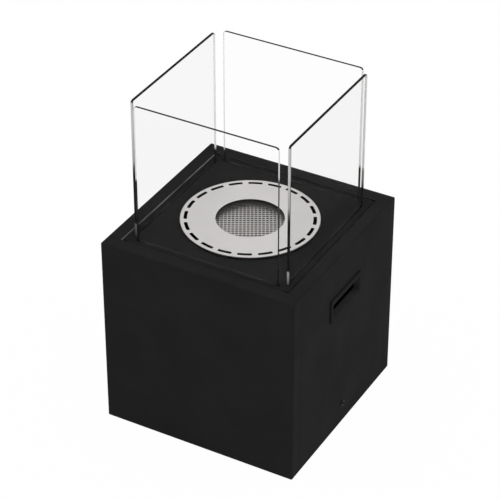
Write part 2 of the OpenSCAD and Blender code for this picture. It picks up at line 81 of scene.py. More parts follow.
# %% Camera
AZIMUTH, ELEVATION = math.radians(29.264), math.radians(34.240)
SENSOR, FOCAL = 36, 156.675
CAMERA_PLACE = (1.43316, -2.55824, 2.28815)
back = Vector((
    math.sin(AZIMUTH) * math.cos(ELEVATION),
    -math.cos(AZIMUTH) * math.cos(ELEVATION),
    math.sin(ELEVATION),
))
lens = bpy.data.cameras.new("camera")
lens.sensor_width, lens.lens = SENSOR, FOCAL
lens.clip_start, lens.clip_end = 0.1, 60
camera = bpy.data.objects.new("camera", lens)
camera.location = CAMERA_PLACE
camera.rotation_mode = "QUATERNION"
camera.rotation_quaternion = (-back).to_track_quat("-Z", "Y")
bpy.context.scene.collection.objects.link(camera)
bpy.context.scene.camera = camera
print("camera stands", round(camera.location.length, 2), "m from the fireplace")

# %% [markdown]
# ## Selecting and finishing
# In edit mode an operator acts on what is selected. By hand that is a click; here `choose` does it, by
# where a face, edge or vertex lies and which way it points. Places are in millimetres, as on a drawing. A
# part points along an axis when its direction is at least `ALONG` on it.

# %% Hold one piece, choose a part of it, let go
ALONG = 0.9


def hold(piece):
    if bpy.context.mode != "OBJECT":
        bpy.ops.object.mode_set(mode="OBJECT")
    bpy.ops.object.select_all(action="DESELECT")
    piece.select_set(True)
    bpy.context.view_layer.objects.active = piece


def choose(piece, kind, test):
    hold(piece)
    bpy.ops.object.mode_set(mode="EDIT")
    bpy.ops.mesh.select_mode(type=kind)
    bpy.ops.mesh.select_all(action="DESELECT")
    mesh = bmesh.from_edit_mesh(piece.data)
    count = 0
    for part in {"VERT": mesh.verts, "EDGE": mesh.edges, "FACE": mesh.faces}[kind]:
        if kind == "VERT":
            at, way = part.co, part.normal
        elif kind == "EDGE":
            a, b = (v.co for v in part.verts)
            at, way = (a + b) / 2, (b - a).normalized()
        else:
            at, way = part.calc_center_median(), part.normal
        if test(at / MM, way):
            part.select_set(True)
            count += 1
    mesh.select_flush_mode()
    bmesh.update_edit_mesh(piece.data)
    return count


def let_go():
    bpy.ops.object.mode_set(mode="OBJECT")


# %% [markdown]
# Modifiers are applied at once, so that a finished piece is plain mesh. `score` marks lines across a piece
# with bisect. `soften` breaks the edges of a piece that are sharper than `SHARP` degrees, as deburring
# does, and then lets the large faces rule the shading, so that flat sheet looks flat.

# %% Modifiers
DEBURR, SHARP, SMOOTH = 0.15, 40, 30
MERGE = 0.002


def modify(piece, kind, **settings):
    hold(piece)
    step = piece.modifiers.new(kind.lower(), kind)
    for name, value in settings.items():
        setattr(step, name, value)
    bpy.ops.object.modifier_apply(modifier=step.name)


def cut(piece, *tools, operation="DIFFERENCE"):
    for tool in tools:
        modify(piece, "BOOLEAN", operation=operation, object=tool, solver="EXACT")
        bpy.data.objects.remove(tool)


def score(piece, axis, *places):
    way = [int(axis == k) for k in range(3)]
    choose(piece, "FACE", lambda at, way: True)
    for place in places:
        bpy.ops.mesh.select_all(action="SELECT")
        bpy.ops.mesh.bisect(plane_co=[w * place * MM for w in way], plane_no=way)
    let_go()


def face_outwards(piece):
    choose(piece, "FACE", lambda at, way: True)
    bpy.ops.mesh.remove_doubles(threshold=MERGE * MM)
    bpy.ops.mesh.normals_make_consistent(inside=False)
    let_go()


def soften(piece, width=DEBURR, steps=2):
    modify(piece, "BEVEL", width=width * MM, segments=steps, limit_method="ANGLE",
           angle_limit=math.radians(SHARP))
    hold(piece)
    bpy.ops.object.shade_smooth_by_angle(angle=math.radians(SMOOTH))
    modify(piece, "WEIGHTED_NORMAL", keep_sharp=True)


# %% [markdown]
# ## Starting shapes
# A block is a cube primitive between two corners of the drawing. A turned piece starts as a circle that is
# drawn out and widened along its profile, which is how a lathe drawing is followed by hand. `POINT` is a
# radius so small that it stands for the axis.

# %% Block, copy and turned shell
POINT = 0.001


def block(name, low, high):
    low, high = Vector(low) * MM, Vector(high) * MM
    bpy.ops.mesh.primitive_cube_add(size=1, location=(low + high) / 2)
    piece = bpy.context.object
    piece.name = piece.data.name = name
    piece.scale = high - low
    bpy.ops.object.transform_apply(location=True, rotation=False, scale=True)
    return piece


def copy_of(piece, name, turn=0, mirror=False):
    twin = bpy.data.objects.new(name, piece.data.copy())
    twin.data.name = name
    bpy.context.scene.collection.objects.link(twin)
    twin.rotation_euler.z = math.radians(turn)
    if mirror:
        twin.scale.x = -1
    hold(twin)
    bpy.ops.object.transform_apply(location=True, rotation=True, scale=True)
    if mirror:
        face_outwards(twin)
    return twin


def turned(name, profile, sides=160):
    radius, height = profile[0]
    bpy.ops.mesh.primitive_circle_add(vertices=sides, radius=radius * MM, location=(0, 0, height * MM))
    piece = bpy.context.object
    piece.name = piece.data.name = name
    bpy.ops.object.transform_apply(location=True)
    bpy.ops.object.mode_set(mode="EDIT")
    bpy.ops.mesh.select_mode(type="EDGE")
    bpy.ops.mesh.select_all(action="SELECT")
    for wider, higher in profile[1:]:
        bpy.ops.mesh.extrude_region_move(TRANSFORM_OT_translate={"value": (0, 0, (higher - height) * MM)})
        share = max(wider, POINT) / radius
        bpy.ops.transform.resize(value=(share, share, 1), center_override=(0, 0, higher * MM))
        radius, height = max(wider, POINT), higher
    if profile[-1][0] == 0:
        bpy.ops.mesh.merge(type="CENTER")
    let_go()
    return piece


def near(radius, height):
    def test(at, way):
        out = Vector((at.x, at.y, 0)).normalized()
        return abs(at.xy.length - radius) < 0.3 and abs(at.z - height) < 0.1 and abs(way.dot(out)) < 0.3
    return test


def round_fold(piece, radius, test, steps=6):
    count = choose(piece, "EDGE", test)
    bpy.ops.mesh.bevel(offset=radius * MM, offset_type="OFFSET", segments=steps, affect="EDGES")
    let_go()
    return count


def wall(piece, thickness):
    face_outwards(piece)
    modify(piece, "SOLIDIFY", thickness=thickness * MM, offset=0, use_even_offset=True,
           use_quality_normals=True)
    face_outwards(piece)


# %% [markdown]
# ## Finishes
# Every finish is a Principled shader whose fine texture comes from noise on Object coordinates. The numbers
# that are the same all over a piece stand on the shader's own sockets. Noise drives only what varies. It
# keeps mostly between `NOISE_LOW` and `NOISE_HIGH`.

# %% One start for every finish
NOISE_LOW, NOISE_HIGH = 0.3, 0.7


def coat(name, colour, **sockets):
    material = bpy.data.materials.new(name)
    material.use_nodes = True
    shader = material.node_tree.nodes["Principled BSDF"]
    shader.inputs["Base Color"].default_value = (*colour, 1)
    for socket, value in sockets.items():
        shader.inputs[socket.replace("_", " ")].default_value = value
    return material, material.node_tree, shader


def add(tree, kind, **values):
    node = tree.nodes.new("ShaderNode" + kind)
    for name, value in values.items():
        if hasattr(node, name):
            setattr(node, name, value)
        else:
            node.inputs[name.replace("_", " ")].default_value = value
    return node


def noise(tree, scale, detail):
    place, cloud = add(tree, "TexCoord"), add(tree, "TexNoise", Scale=scale, Detail=detail)
    tree.links.new(place.outputs["Object"], cloud.inputs["Vector"])
    return cloud.outputs["Fac"]


def spread(tree, value, low, high):
    node = add(tree, "MapRange", From_Min=NOISE_LOW, From_Max=NOISE_HIGH, To_Min=low, To_Max=high)
    tree.links.new(value, node.inputs["Value"])
    return node.outputs["Result"]


def vary(tree, shader, value, dark, light):
    node = add(tree, "Mix", data_type="RGBA")
    tree.links.new(spread(tree, value, 0, 1), node.inputs["Factor"])
    for socket, colour in (("A", dark), ("B", light)):
        [s for s in node.inputs if s.name == socket and s.type == "RGBA"][0].default_value = (*colour, 1)
    tree.links.new([s for s in node.outputs if s.type == "RGBA"][0], shader.inputs["Base Color"])


def bump(tree, shader, height, depth, strength):
    node = add(tree, "Bump", Strength=strength, Distance=depth * MM)
    tree.links.new(height, node.inputs["Height"])
    tree.links.new(node.outputs["Normal"], shader.inputs["Normal"])


# %% [markdown]
# ### Black powder coat
# Powder coat flows together in the oven into a fine orange peel, about a millimetre from bump to bump. This
# one is a deep matt black, so its specular level is kept far down and the studio only just lifts it. Three
# shades are set by what the photograph shows, and not by anything known of the real surface. The top plate
# reads a little darker. The slots and the joint behind the plate hardly show, so their faces and the
# channels are painted lighter, as painted light in their shade. A thin bright line runs beside the plate,
# so the step there is light: a painted highlight.

# %% Paints
def powder_coat(name, dark, light, shine, rough):
    material, tree, shader = coat(name, light, Specular_IOR_Level=shine)
    cloud = noise(tree, 14, 3)
    vary(tree, shader, cloud, dark, light)
    tree.links.new(spread(tree, cloud, *rough), shader.inputs["Roughness"])
    bump(tree, shader, noise(tree, 1100, 2), 0.02, 0.5)
    return material


MATT, DULL = (0.55, 0.45), (0.7, 0.6)
BLACK_COAT = powder_coat(
    "black_powder_coat", (0.0167, 0.0161, 0.0161), (0.0193, 0.0186, 0.0186), 0.004, MATT)
PLATE_COAT = powder_coat(
    "plate_black_coat", (0.0149, 0.0144, 0.0144), (0.0172, 0.0166, 0.0166), 0.003, MATT)
INNER_COAT = powder_coat("inner_black_coat", (0.012, 0.012, 0.012), (0.02, 0.02, 0.02), 0.02, DULL)
SLOT_PAINTED_LIGHT = powder_coat("slot_painted_light", (0.05, 0.048, 0.047), (0.07, 0.067, 0.066), 0.01, DULL)
STEP_PAINTED_HIGHLIGHT = powder_coat("step_painted_highlight", (0.11, 0.103, 0.1), (0.3, 0.282, 0.275), 0.05, (0.6, 0.45))
print("paints:", *(paint.name for paint in (BLACK_COAT, PLATE_COAT, INNER_COAT, SLOT_PAINTED_LIGHT, STEP_PAINTED_HIGHLIGHT)))

# %% [markdown]
# ### Steel, zinc and black oxide
# The ring is satin stainless steel: ground evenly, so it is bright but mirrors nothing. The gauze reads
# duller in the photograph and is set so. The cup doesn't show there, and is made darker still with painted
# shade, so that its inside stays dark. The cup doesn't show there, and is guessed to be duller still. The
# ring's skirt reads nearly black, most likely because it mirrors the plate, so it gets a painted reflection
# of the plate: a dark steel. Fasteners are zinc plated, and the side bolts blackened.

# %% Metals
def metal(name, dark, light, rough, grain, depth):
    material, tree, shader = coat(name, light, Metallic=1.0)
    vary(tree, shader, noise(tree, 22, 3), dark, light)
    tree.links.new(spread(tree, noise(tree, 60, 4), *rough), shader.inputs["Roughness"])
    bump(tree, shader, noise(tree, grain, 3), depth, 0.6)
    return material


SATIN_STEEL = metal("satin_steel", (0.6, 0.583, 0.575), (0.63, 0.612, 0.604), (0.3, 0.38), 2600, 0.004)
GAUZE_STEEL = metal("gauze_steel", (0.44, 0.424, 0.413), (0.5, 0.484, 0.473), (0.42, 0.55), 2600, 0.004)
CUP_STEEL_PAINTED_SHADE = metal("cup_steel_painted_shade", (0.16, 0.15, 0.14), (0.26, 0.245, 0.23), (0.35, 0.5), 1800, 0.005)
SKIRT_PAINTED_REFLECTION = metal("skirt_painted_reflection", (0.1, 0.097, 0.095), (0.14, 0.136, 0.133), (0.3, 0.4), 1500, 0.003)
ZINC = metal("zinc_plate", (0.48, 0.49, 0.5), (0.58, 0.59, 0.6), (0.25, 0.45), 900, 0.008)
BLACK_OXIDE = metal("black_oxide", (0.012, 0.012, 0.013), (0.024, 0.023, 0.023), (0.35, 0.5), 1500, 0.006)
METALS = (SATIN_STEEL, GAUZE_STEEL, CUP_STEEL_PAINTED_SHADE, SKIRT_PAINTED_REFLECTION, ZINC, BLACK_OXIDE)
print("metals:", *(material.name for material in METALS))

# %% [markdown]
# ### Moulded plastic, rubber, silicone and fibre
# The hand frames are moulded with a fine grain that hides scratches. Their collars are set a little greyer,
# as painted light, so that the hole reads as in the photograph. Rubber and silicone are smooth and soft in
# their shine. The packing is matted ceramic fibre, darkened nearly to black with painted shade under the
# gauze. The walls of the ring's slots, which read black in the photograph, get painted shade: a dry black
# with no shine at all.

# %% Plastics and fibre
def moulded(name, dark, light, rough, grain, depth, shine):
    material, tree, shader = coat(name, light, Specular_IOR_Level=shine)
    vary(tree, shader, noise(tree, 40, 2), dark, light)
    tree.links.new(spread(tree, noise(tree, 90, 3), *rough), shader.inputs["Roughness"])
    bump(tree, shader, noise(tree, grain, 4), depth, 0.6)
    return material


SATIN, TRIM_GRAIN = (0.45, 0.55), 2200
TRIM_PLASTIC = moulded(
    "trim_plastic", (0.016, 0.0155, 0.0155), (0.0185, 0.018, 0.018), SATIN, TRIM_GRAIN, 0.01, 0.004)
COLLAR_PAINTED_LIGHT = moulded(
    "trim_collar_painted_light", (0.037, 0.0362, 0.0356), (0.045, 0.0439, 0.0436), SATIN, TRIM_GRAIN, 0.01, 0.02)
RUBBER = moulded("foot_rubber", (0.012, 0.012, 0.012), (0.02, 0.02, 0.02), (0.6, 0.75), 1200, 0.03, 0.2)
SLOT_WALL_PAINTED_SHADE = moulded("slot_wall_painted_shade", (0.005, 0.005, 0.005), (0.008, 0.008, 0.008), (0.8, 0.95), 1500, 0.01, 0.0)
SILICONE = moulded("silicone", (0.62, 0.63, 0.63), (0.7, 0.71, 0.71), (0.35, 0.5), 700, 0.02, 0.4)
FIBRE_PAINTED_SHADE = moulded("ceramic_fibre", (0.014, 0.013, 0.012), (0.05, 0.047, 0.043), (0.85, 0.98), 800, 0.6, 0.05)
PLASTICS = (TRIM_PLASTIC, COLLAR_PAINTED_LIGHT, RUBBER, SLOT_WALL_PAINTED_SHADE, SILICONE, FIBRE_PAINTED_SHADE)
print("plastics and fibre:", *(material.name for material in PLASTICS))

# %% [markdown]
# ### Clear glass
# A clean pane hardly shows: it only dims what is behind it a little, and more so where it is seen
# slantingly, which Layer Weight's facing angle gives. The photograph shows no reflections in the panes, so
# their faces have an IOR just above that of air, and bend and mirror next to nothing. A shadow ray passes
# straight through.

# %% Glass faces
GLASS_IOR, CLEAR_FACING, CLEAR_SLANTING = 1.015, 0.985, 0.92


def clear_glass():
    material, tree, shader = coat("pane_glass", (0.98, 0.98, 0.98), Transmission_Weight=1.0, IOR=GLASS_IOR)
    tree.links.new(spread(tree, noise(tree, 30, 3), 0.0, 0.01), shader.inputs["Roughness"])
    slant = add(tree, "LayerWeight")
    dim = add(tree, "MapRange", From_Min=0.27, From_Max=0.6, To_Min=CLEAR_FACING, To_Max=CLEAR_SLANTING)
    tree.links.new(slant.outputs["Facing"], dim.inputs["Value"])
    tree.links.new(dim.outputs["Result"], shader.inputs["Base Color"])
    path, open_way, mix = add(tree, "LightPath"), add(tree, "BsdfTransparent"), add(tree, "MixShader")
    tree.links.new(path.outputs["Is Shadow Ray"], mix.inputs[0])
    tree.links.new(shader.outputs["BSDF"], mix.inputs[1])
    tree.links.new(open_way.outputs["BSDF"], mix.inputs[2])
    tree.links.new(mix.outputs["Shader"], tree.nodes["Material Output"].inputs["Surface"])
    return material


GLASS = clear_glass()
print("glass:", GLASS.name, "with an IOR of", GLASS_IOR)

# %% [markdown]
# ### Colour by height
# A ground edge shows what the glass leads to it from inside: the black box low down, the white room higher
# up, and black along the top. The render doesn't trace that, so it is painted light and shade, given by
# height with a colour ramp, and the heights of its stops were read from the photograph. They are in
# millimetres, as on the drawing, and the change comes lower towards the rear by `lean`. A bright band low
# on the near edges is a painted glint. The mouth's wall gets painted shade in the same way: nearly black at
# the rim, greyer towards the gauze.

# %% Edges
WARM = (1, 0.985, 0.975)


def by_height(tree, stops, lean):
    low, high = stops[0][0], stops[-1][0]
    place, axes = add(tree, "TexCoord"), add(tree, "SeparateXYZ")
    tilt, level = add(tree, "Math", operation="MULTIPLY"), add(tree, "Math", operation="ADD")
    ramp = add(tree, "ValToRGB")
    fit = add(tree, "MapRange", From_Min=low * MM, From_Max=high * MM, To_Min=0, To_Max=1)
    tree.links.new(place.outputs["Object"], axes.inputs["Vector"])
    tree.links.new(axes.outputs["Y"], tilt.inputs[0])
    tilt.inputs[1].default_value = lean
    tree.links.new(axes.outputs["Z"], level.inputs[0])
    tree.links.new(tilt.outputs[0], level.inputs[1])
    tree.links.new(level.outputs[0], fit.inputs["Value"])
    tree.links.new(fit.outputs["Result"], ramp.inputs["Fac"])
    marks = ramp.color_ramp.elements
    while len(marks) < len(stops):
        marks.new(0.5)
    for mark, (height, grey) in zip(marks, stops):
        mark.position = (height - low) / (high - low)
        mark.color = (*(grey * share for share in WARM), 1)
    return ramp.outputs["Color"]


def shaded(name, stops, lean=0, rough=(0.2, 0.35)):
    material, tree, shader = coat(name, (0.5, 0.5, 0.5), Specular_IOR_Level=0.02)
    tree.links.new(by_height(tree, stops, lean), shader.inputs["Base Color"])
    tree.links.new(spread(tree, noise(tree, 200, 3), *rough), shader.inputs["Roughness"])
    return material


def near_edge(side, painted_glint):
    # Painted shade low down with a painted glint from 352 to 374 mm, and painted light higher up.
    return shaded(f"{side}_near_edge", [
        (340, 0.012), (352, painted_glint / 2), (371, painted_glint), (374, 0.012),
        (464, 0.014), (476, 0.12), (490, 0.45), (540, 0.62), (640, 0.64)])


# Painted light and shade for the panes' edges and bands, by height.
TOP_EDGE_DARK = shaded("top_edge_dark", [(590, 0.009), (600, 0.008)])
TOP_EDGE_GREY = shaded("top_edge_grey", [(590, 0.04), (600, 0.035)])
NEAR_EDGES = {"left": near_edge("left", 0.2), "right": near_edge("right", 0.6)}
BACK_EDGE = shaded("back_edge", [
    (300, 0.028), (440, 0.028), (456, 0.014), (476, 0.016), (484, 0.8), (640, 0.86)], lean=0.46)
FAINT_EDGE = shaded("faint_edge", [
    (300, 0.028), (444, 0.028), (456, 0.3), (476, 0.36), (484, 0.8), (640, 0.86)], lean=0.46)
RIGHT_EDGE = shaded("right_edge", [
    (300, 0.02), (386, 0.03), (416, 0.045), (476, 0.07), (484, 0.8), (640, 0.85)], lean=0.46)
FAR_EDGE = shaded("far_edge", [(300, 0.012), (416, 0.014), (422, 0.85), (640, 0.92)], lean=0.33)
EDGE_BAND = shaded("edge_band", [(300, 0.012), (470, 0.02), (532, 0.04), (540, 0.2), (640, 0.22)])
# The mouth's wall is painted shade, darkest at the rim.
MOUTH_WALL = shaded("mouth_wall", [(343, 0.13), (346, 0.07), (350, 0.03), (355, 0.01)], rough=(0.4, 0.5))
print("shades:", *(m.name for m in bpy.data.materials if "edge" in m.name), MOUTH_WALL.name)

# %% [markdown]
# ### Joining a piece to the frame
# A finished piece gets its material, rides on a body and stands for the CAD nodes it replaces. `paint`
# gives some of its faces another material.

# %% Settle and paint
def settle(piece, body, slot, material, *nodes):
    piece.data.materials.clear()
    piece.data.materials.append(material)
    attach(piece, body)
    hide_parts(*nodes)
    print(f"{piece.name}: {len(piece.data.polygons)} faces, rides on {body}")


def paint(piece, material, test):
    hold(piece)
    bpy.ops.object.material_slot_add()
    piece.material_slots[-1].material = material
    count = choose(piece, "FACE", test)
    piece.active_material_index = len(piece.material_slots) - 1
    bpy.ops.object.material_slot_assign()
    let_go()
    print(f"{piece.name}: {count} faces in {material.name}")


# %% [markdown]
# ## Front and rear panels
# Each is a shallow tray of 1.5 mm sheet: a face with four returns folded back round the box's edges. A
# block loses its back face, its edges are rounded to the bend radius, and Solidify gives it the sheet's
# thickness.

# %% Trays
front = block("front_panel_sheet", TRAY_LOW, TRAY_HIGH)
choose(front, "FACE", lambda at, way: way.y > ALONG)
bpy.ops.mesh.delete(type="ONLY_FACE")
let_go()
folds = round_fold(front, FOLD, lambda at, way: at.y < TRAY_HIGH.y - 0.5)
face_outwards(front)
modify(front, "SOLIDIFY", thickness=SHEET * MM, offset=-1, use_even_offset=True, use_quality_normals=True)
rear = copy_of(front, "rear_panel_sheet", turn=180)
for panel, node in ((front, "front_panel"), (rear, "rear_panel")):
    soften(panel)
    settle(panel, "cabinet", "black_paint", BLACK_COAT, node)
print("folds in a tray:", folds)

# %% [markdown]
# ## Side panels
# A side is one strip of sheet folded along its length: bottom return, wall, top return, a small step down
# and the ledge that carries the top plate. A plane is drawn out edge by edge along that section, its folds
# are rounded, and it gets its thickness. The hand hole is cut last, as a press would punch it.

# %% Right side, then its mirror image
def rounded_block(name, low, high, radius, axis):
    piece = block(name, low, high)
    round_fold(piece, radius, lambda at, way: abs(way[axis]) > ALONG)
    return piece


def rod(name, radius, middle, length, axis="Z", sides=48):
    turn = {"X": (0, math.pi / 2, 0), "Y": (math.pi / 2, 0, 0), "Z": (0, 0, 0)}[axis]
    bpy.ops.mesh.primitive_cylinder_add(vertices=sides, radius=radius * MM, depth=length * MM,
                                        location=Vector(middle) * MM, rotation=turn)
    piece = bpy.context.object
    piece.name = piece.data.name = name
    bpy.ops.object.transform_apply(location=True, rotation=True, scale=True)
    return piece


HAND_W, HAND_H, HAND_R, TRIM_WALL, TRIM_FIT = 94, 27, 3, 2, 0.4
STEP_FOLD, BOLT_HOLE_R, DRILL_L, PUNCH_REACH = 1.25, 3.3, 12, 10
TRIM_LOW, TRIM_HIGH = corners("right_hand_frame")
BOLT_LOW, BOLT_HIGH = corners("right_side_bolt")
BOLT_Z = (BOLT_LOW.z + BOLT_HIGH.z) / 2


def hand_bar(name, start, end, grow):
    y, z, middle = HAND_W / 2 + grow, HAND_H / 2 + grow, (TRIM_LOW.z + TRIM_HIGH.z) / 2
    return rounded_block(name, (start, -y, middle - z), (end, y, middle + z), HAND_R + grow, 0)


def folded_side():
    low, high = corners("right_side_panel")
    half = SHEET / 2
    wall_x, rim_x, floor_z, rim_z = high.x - half, RIM_X + half, low.z + half, high.z - half
    ledge_z = PLATE_Z - TOP_SHEET - half
    piece = block("right_side_sheet", (RIM_X, low.y, floor_z), (wall_x, high.y, floor_z + 1))
    choose(piece, "FACE", lambda at, way: way.z > -ALONG)
    bpy.ops.mesh.delete(type="FACE")
    let_go()
    at_x, at_z = wall_x, floor_z
    for x, z in ((wall_x, rim_z), (rim_x, rim_z), (rim_x, ledge_z), (low.x, ledge_z)):
        end = Vector((at_x, 0, at_z))
        choose(piece, "EDGE", lambda at, way: (at - end).length < 0.01 and abs(way.y) > ALONG)
        move = ((x - at_x) * MM, 0, (z - at_z) * MM)
        bpy.ops.mesh.extrude_region_move(TRANSFORM_OT_translate={"value": move})
        let_go()
        at_x, at_z = x, z
    round_fold(piece, FOLD - half, lambda at, way: abs(way.y) > ALONG and at.x > wall_x - 0.25)
    round_fold(piece, STEP_FOLD, lambda at, way: (
        abs(way.y) > ALONG and abs(at.x - rim_x) < 0.01 and at.z > RIM_X))
    wall(piece, SHEET)
    cut(piece, hand_bar("hand_hole", SIDE_X - PUNCH_REACH, SIDE_X + PUNCH_REACH, TRIM_WALL + TRIM_FIT),
        rod("bolt_hole", BOLT_HOLE_R, (SIDE_X, 0, BOLT_Z), DRILL_L, "X"))
    return piece


def on_step(at, way):
    return abs(way.x) > 0.4 and abs(abs(at.x) - RIM_X) < 0.6 and at.z > PLATE_Z - 2


right_side = folded_side()
left_side = copy_of(right_side, "left_side_sheet", mirror=True)
for panel, node in ((right_side, "right_side_panel"), (left_side, "left_side_panel")):
    soften(panel)
    settle(panel, "cabinet", "black_paint", BLACK_COAT, node)
    # The step beside the plate gets a painted highlight.
    paint(panel, STEP_PAINTED_HIGHLIGHT, on_step)

# %% [markdown]
# ## Top plate
# The plate lies a little below the rim, with a flange turned down at the front and the rear, four slots for
# the panes and the burner's hole. Bisect marks where the flanges start, because they stop short of the
# ledges. The faces in the slots and in the joint behind the plate get painted light, a lighter grey that
# lifts their shade.

# %% Top plate
FLANGE_H, FLANGE_FOLD, CUT_DEPTH = 12, 2, 5
low, high = corners("top_plate")
level, flange_y = high.z - TOP_SHEET / 2, high.y - TOP_SHEET / 2
flange_x = corners("right_side_panel")[0].x - (RIM_X - high.x)
plate = block("top_plate_sheet", (low.x, -flange_y, level), (high.x, flange_y, high.z))
choose(plate, "FACE", lambda at, way: way.z > -ALONG)
bpy.ops.mesh.delete(type="FACE")
let_go()
score(plate, 0, -flange_x, flange_x)
score(plate, 1, TOP_SHEET - flange_y, flange_y - TOP_SHEET)
choose(plate, "FACE", lambda at, way: abs(at.x) > flange_x and abs(at.y) > flange_y - TOP_SHEET)
bpy.ops.mesh.delete(type="FACE")
let_go()
choose(plate, "EDGE", lambda at, way: abs(at.y) > flange_y - 0.1 and abs(way.x) > ALONG)
bpy.ops.mesh.extrude_region_move(TRANSFORM_OT_translate={"value": (0, 0, (TOP_SHEET / 2 - FLANGE_H) * MM)})
let_go()
round_fold(plate, FLANGE_FOLD, lambda at, way: (
    abs(at.y) > flange_y - 0.1 and abs(way.x) > ALONG and at.z > level - 1))
wall(plate, TOP_SHEET)

# %% Slots and the burner's hole
SLOT_SIDE, SLOT_END, SLOT_ZONE, WELL_FIT, WELL_LIP = 0.3, 3, 3, 0.5, 3
slot_middle = -(PANE_LOW.y + PANE_HIGH.y) / 2
slot_end, slot_side = PANE_HIGH.x + SLOT_END, (PANE_HIGH.y - PANE_LOW.y) / 2 + SLOT_SIDE
below, above = level - CUT_DEPTH, level + CUT_DEPTH
for middle in (-slot_middle, slot_middle):
    near_side, far_side = middle - slot_side, middle + slot_side
    cut(plate, block("slot", (-slot_end, near_side, below), (slot_end, far_side, above)),
        block("slot", (near_side, -slot_end, below), (far_side, slot_end, above)))
hole_r = corners("burner_well")[1].x - WELL_LIP + WELL_FIT
cut(plate, rod("burner_hole", hole_r, (0, 0, level), 2 * CUT_DEPTH, sides=160))
soften(plate)
settle(plate, "cabinet", "black_paint", PLATE_COAT, "top_plate")


def in_slot(at, way):
    return abs(way.z) < 0.4 and abs(max(abs(at.x), abs(at.y)) - slot_middle) < SLOT_ZONE


def behind_plate(at, way):
    return way.y < -0.4 and abs(at.y - RIM_X) < 0.6 and at.z > PLATE_Z - 2


# Slot walls, the plate's rear fold and the rear panel's edge behind it get painted light.
paint(plate, SLOT_PAINTED_LIGHT, in_slot)
paint(plate, SLOT_PAINTED_LIGHT, lambda at, way: at.y > flange_y - FLANGE_FOLD and way.z < 0.95)
paint(rear, SLOT_PAINTED_LIGHT, behind_plate)

# %% [markdown]
# ## Hand hole frames
# A moulded frame lines each hand hole, so that fingers don't meet the sheet's edge: a flange with soft
# outer edges stands proud of the side, and a collar goes in through the hole.

# %% Trim frames
TRIM_CORNER, TRIM_ROUND, COLLAR_ROOT, TRIM_SOFT = 5, 1.2, 1.5, 0.3


def hand_frame():
    piece = rounded_block("right_hand_trim", (SIDE_X, TRIM_LOW.y, TRIM_LOW.z), TRIM_HIGH, TRIM_CORNER, 0)
    round_fold(piece, TRIM_ROUND, lambda at, way: at.x > TRIM_HIGH.x - 0.1, steps=4)
    cut(piece, hand_bar("collar", TRIM_LOW.x, SIDE_X + COLLAR_ROOT, TRIM_WALL), operation="UNION")
    cut(piece, hand_bar("opening", TRIM_LOW.x - CUT_DEPTH, TRIM_HIGH.x + CUT_DEPTH, 0))
    return piece


right_trim = hand_frame()
left_trim = copy_of(right_trim, "left_hand_trim", mirror=True)
for trim, node in ((right_trim, "right_hand_frame"), (left_trim, "left_hand_frame")):
    soften(trim, TRIM_SOFT, steps=3)
    settle(trim, "cabinet", "trim_plastic", TRIM_PLASTIC, node)
    # The collar inside the hand hole gets painted light.
    paint(trim, COLLAR_PAINTED_LIGHT, lambda at, way: abs(at.x) < SIDE_X - 0.5 and abs(way.x) < 0.5)

# %% [markdown]
# ## Side bolts
# A button-head bolt holds each side to the base plate's ear. Its head is a low dome with a hexagon socket:
# a turned profile, laid on its side, with a six-sided rod cut out of it.

# %% Bolts
SHANK_R, TIP_R, TIP_CUT, SOCKET_R, SOCKET_L = 3, 2.6, 0.4, 2.32, 3.6
DOME_ANGLE, BOLT_SOFT = 60, 0.1


def button_bolt():
    radius, rise, tip = (BOLT_HIGH.y - BOLT_LOW.y) / 2, BOLT_HIGH.x - SIDE_X, BOLT_LOW.x - SIDE_X
    dome = [(radius * math.cos(a), rise * math.sin(a) / math.sin(math.radians(DOME_ANGLE)))
            for a in (math.radians(k) for k in range(0, DOME_ANGLE + 1, 10))]
    shank = [(POINT, tip), (TIP_R, tip), (SHANK_R, tip + TIP_CUT), (SHANK_R, 0)]
    piece = turned("right_button_bolt", [*shank, *dome, (0, rise)], sides=48)
    choose(piece, "VERT", lambda at, way: at.z < tip + 0.01 and at.xy.length < 0.1)
    bpy.ops.mesh.merge(type="CENTER")
    let_go()
    face_outwards(piece)
    cut(piece, rod("socket", SOCKET_R, (0, 0, rise), SOCKET_L, sides=6))
    piece.rotation_euler.y = math.pi / 2
    piece.location = Vector((SIDE_X, 0, BOLT_Z)) * MM
    hold(piece)
    bpy.ops.object.transform_apply(location=True, rotation=True)
    return piece


right_bolt = button_bolt()
left_bolt = copy_of(right_bolt, "left_button_bolt", mirror=True)
for bolt, node in ((right_bolt, "right_side_bolt"), (left_bolt, "left_side_bolt")):
    soften(bolt, BOLT_SOFT)
    settle(bolt, "cabinet", "black_bolt", BLACK_OXIDE, node)

# %% [markdown]
# ## Glass panes
# Each pane is cut with two round upper corners, and its edges are ground and polished with a narrow arris,
# which is real geometry. Lines are scored just inside the edges, because a pane also looks dark there,
# where one sees the edge through its face; that band and the edges themselves get painted light and shade.
# Which edge takes which shade was read from the photograph. `SKIN` is how far in from an end a face may lie
# to belong to it.

# %% Panes
PANE_CORNER, FOOT_CORNER, ARRIS, TOP_BAND, END_BAND, SKIN = 6, 1, 0.3, 1.4, 2.1, 0.4


def glass_pane():
    piece = block("front_pane_glass", PANE_LOW, PANE_HIGH)
    end, middle_z = PANE_HIGH.x, (PANE_LOW.z + PANE_HIGH.z) / 2
    round_fold(piece, PANE_CORNER, lambda at, way: abs(way.y) > ALONG and at.z > middle_z, steps=10)
    round_fold(piece, FOOT_CORNER, lambda at, way: (
        abs(way.y) > ALONG and at.z < PANE_LOW.z + 1 and abs(at.x) > end - 1), steps=3)
    modify(piece, "BEVEL", width=ARRIS * MM, segments=1, limit_method="ANGLE",
           angle_limit=math.radians(50))
    score(piece, 0, END_BAND - end, end - END_BAND)
    score(piece, 2, PANE_HIGH.z - TOP_BAND)
    hold(piece)
    bpy.ops.object.shade_smooth_by_angle(angle=math.radians(20))
    return piece


